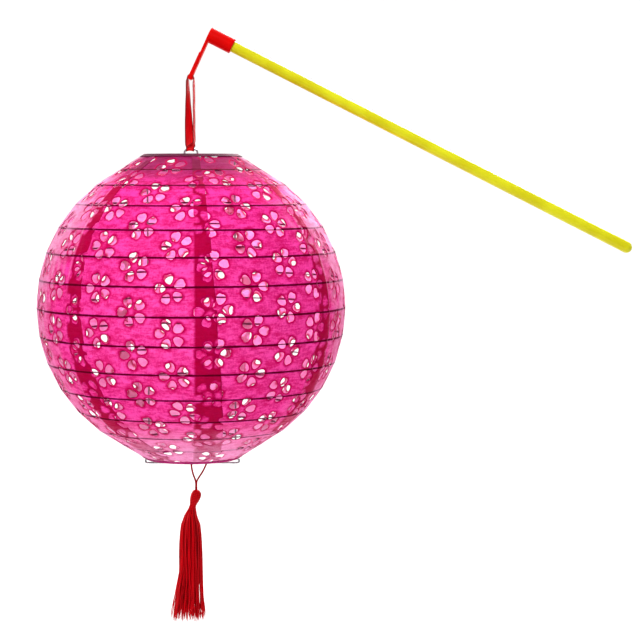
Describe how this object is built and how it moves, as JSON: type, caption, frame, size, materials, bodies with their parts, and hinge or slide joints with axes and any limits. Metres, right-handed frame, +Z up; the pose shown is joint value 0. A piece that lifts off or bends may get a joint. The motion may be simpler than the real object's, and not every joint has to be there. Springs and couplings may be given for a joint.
{
  "type": "paper lantern",
  "caption": "Round paper lantern with cut-out flowers, hung by a ribbon from a carrying stick, with wire ribs, an inner wire expander and a tassel.",
  "frame": {"origin": "on the carrying stick's axis where the hand holds it, 60 mm from its round tip", "axes": "+Z up; +X from the shade towards the stick's free end; the shade hangs plumb below the stick's capped end, in the XZ plane"},
  "size_m": [0.3864, 0.2, 0.385],
  "materials": {
    "stick_plastic": "soft gloss yellow moulded plastic",
    "cap_vinyl": "soft red vinyl, satin",
    "satin_ribbon": "red satin tape with woven edges",
    "bright_wire": "galvanised bent wire",
    "ring_wire": "plain steel wire",
    "rib_wire": "dark lacquered steel wire",
    "binding_paper": "folded paper strip",
    "lantern_paper": "thin translucent magenta paper with cut-out flowers",
    "tassel_thread": "red silky thread"
  },
  "bodies": {
    "stick": {"carrying_stick": "stick_plastic", "hook_cap": "cap_vinyl"},
    "ribbon": {"hanging_ribbon": "satin_ribbon"},
    "shade": {"expander_wire": "bright_wire", "top_ring": "ring_wire", "top_binding": "binding_paper", "paper_gore_1": "lantern_paper", "paper_gore_2": "lantern_paper", "paper_gore_3": "lantern_paper", "paper_gore_4": "lantern_paper", "paper_gore_5": "lantern_paper", "paper_gore_6": "lantern_paper", "paper_gore_7": "lantern_paper"},
    "rib_01_body": {"rib_01": "rib_wire"},
    "rib_02_body": {"rib_02": "rib_wire"},
    "rib_03_body": {"rib_03": "rib_wire"},
    "rib_04_body": {"rib_04": "rib_wire"},
    "rib_05_body": {"rib_05": "rib_wire"},
    "rib_06_body": {"rib_06": "rib_wire"},
    "rib_07_body": {"rib_07": "rib_wire"},
    "rib_08_body": {"rib_08": "rib_wire"},
    "rib_09_body": {"rib_09": "rib_wire"},
    "rib_10_body": {"rib_10": "rib_wire"},
    "rib_11_body": {"rib_11": "rib_wire"},
    "rib_12_body": {"rib_12": "rib_wire"},
    "rib_13_body": {"rib_13": "rib_wire"},
    "bottom_hoop": {"bottom_ring": "ring_wire", "bottom_binding": "binding_paper"},
    "cord": {"tassel_cord": "tassel_thread"},
    "tassel": {"tassel_strands": "tassel_thread", "tassel_tie": "tassel_thread"}
  },
  "joints": [
    {"name": "ribbon_swing", "type": "hinge", "parent": "stick", "child": "ribbon", "pos_m": [-0.2323, 0, 0.08405], "axis": [0, 1, 0], "range_deg": [-28, 45]},
    {"name": "shade_swing", "type": "hinge", "parent": "ribbon", "child": "shade", "pos_m": [-0.2323, 0, 0.03795], "axis": [1, 0, 0], "range_deg": [-40, 40]},
    {"name": "collapse", "type": "slide", "parent": "shade", "child": "bottom_hoop", "axis": [0, 0, 1], "range_m": [0, 0.17413], "deforming": ["paper_gore_1", "paper_gore_2", "paper_gore_3", "paper_gore_4", "paper_gore_5", "paper_gore_6", "paper_gore_7"]},
    {"name": "rib_01_slide", "type": "slide", "parent": "shade", "child": "rib_01_body", "axis": [0, 0, 1], "range_m": [0, 0.00895]},
    {"name": "rib_02_slide", "type": "slide", "parent": "shade", "child": "rib_02_body", "axis": [0, 0, 1], "range_m": [0, 0.01754]},
    {"name": "rib_03_slide", "type": "slide", "parent": "shade", "child": "rib_03_body", "axis": [0, 0, 1], "range_m": [0, 0.02845]},
    {"name": "rib_04_slide", "type": "slide", "parent": "shade", "child": "rib_04_body", "axis": [0, 0, 1], "range_m": [0, 0.04131]},
    {"name": "rib_05_slide", "type": "slide", "parent": "shade", "child": "rib_05_body", "axis": [0, 0, 1], "range_m": [0, 0.05569]},
    {"name": "rib_06_slide", "type": "slide", "parent": "shade", "child": "rib_06_body", "axis": [0, 0, 1], "range_m": [0, 0.07111]},
    {"name": "rib_07_slide", "type": "slide", "parent": "shade", "child": "rib_07_body", "axis": [0, 0, 1], "range_m": [0, 0.08707]},
    {"name": "rib_08_slide", "type": "slide", "parent": "shade", "child": "rib_08_body", "axis": [0, 0, 1], "range_m": [0, 0.10303]},
    {"name": "rib_09_slide", "type": "slide", "parent": "shade", "child": "rib_09_body", "axis": [0, 0, 1], "range_m": [0, 0.11845]},
    {"name": "rib_10_slide", "type": "slide", "parent": "shade", "child": "rib_10_body", "axis": [0, 0, 1], "range_m": [0, 0.13283]},
    {"name": "rib_11_slide", "type": "slide", "parent": "shade", "child": "rib_11_body", "axis": [0, 0, 1], "range_m": [0, 0.14569]},
    {"name": "rib_12_slide", "type": "slide", "parent": "shade", "child": "rib_12_body", "axis": [0, 0, 1], "range_m": [0, 0.1566]},
    {"name": "rib_13_slide", "type": "slide", "parent": "shade", "child": "rib_13_body", "axis": [0, 0, 1], "range_m": [0, 0.16519]},
    {"name": "cord_swing", "type": "hinge", "parent": "shade", "child": "cord", "pos_m": [-0.2323, 0, -0.16646], "axis": [1, 0, 0], "range_deg": [-60, 60]},
    {"name": "tassel_sway", "type": "hinge", "parent": "cord", "child": "tassel", "pos_m": [-0.2299, 0, -0.18416], "axis": [0, 1, 0], "range_deg": [-25, 25]}
  ],
  "couplings": [
    {"joint": "rib_01_slide", "follows": "collapse", "ratio": 0.051364},
    {"joint": "rib_02_slide", "follows": "collapse", "ratio": 0.10071},
    {"joint": "rib_03_slide", "follows": "collapse", "ratio": 0.16335},
    {"joint": "rib_04_slide", "follows": "collapse", "ratio": 0.23719},
    {"joint": "rib_05_slide", "follows": "collapse", "ratio": 0.31978},
    {"joint": "rib_06_slide", "follows": "collapse", "ratio": 0.40837},
    {"joint": "rib_07_slide", "follows": "collapse", "ratio": 0.5},
    {"joint": "rib_08_slide", "follows": "collapse", "ratio": 0.59163},
    {"joint": "rib_09_slide", "follows": "collapse", "ratio": 0.68022},
    {"joint": "rib_10_slide", "follows": "collapse", "ratio": 0.76281},
    {"joint": "rib_11_slide", "follows": "collapse", "ratio": 0.83665},
    {"joint": "rib_12_slide", "follows": "collapse", "ratio": 0.89929},
    {"joint": "rib_13_slide", "follows": "collapse", "ratio": 0.94864}
  ]
}
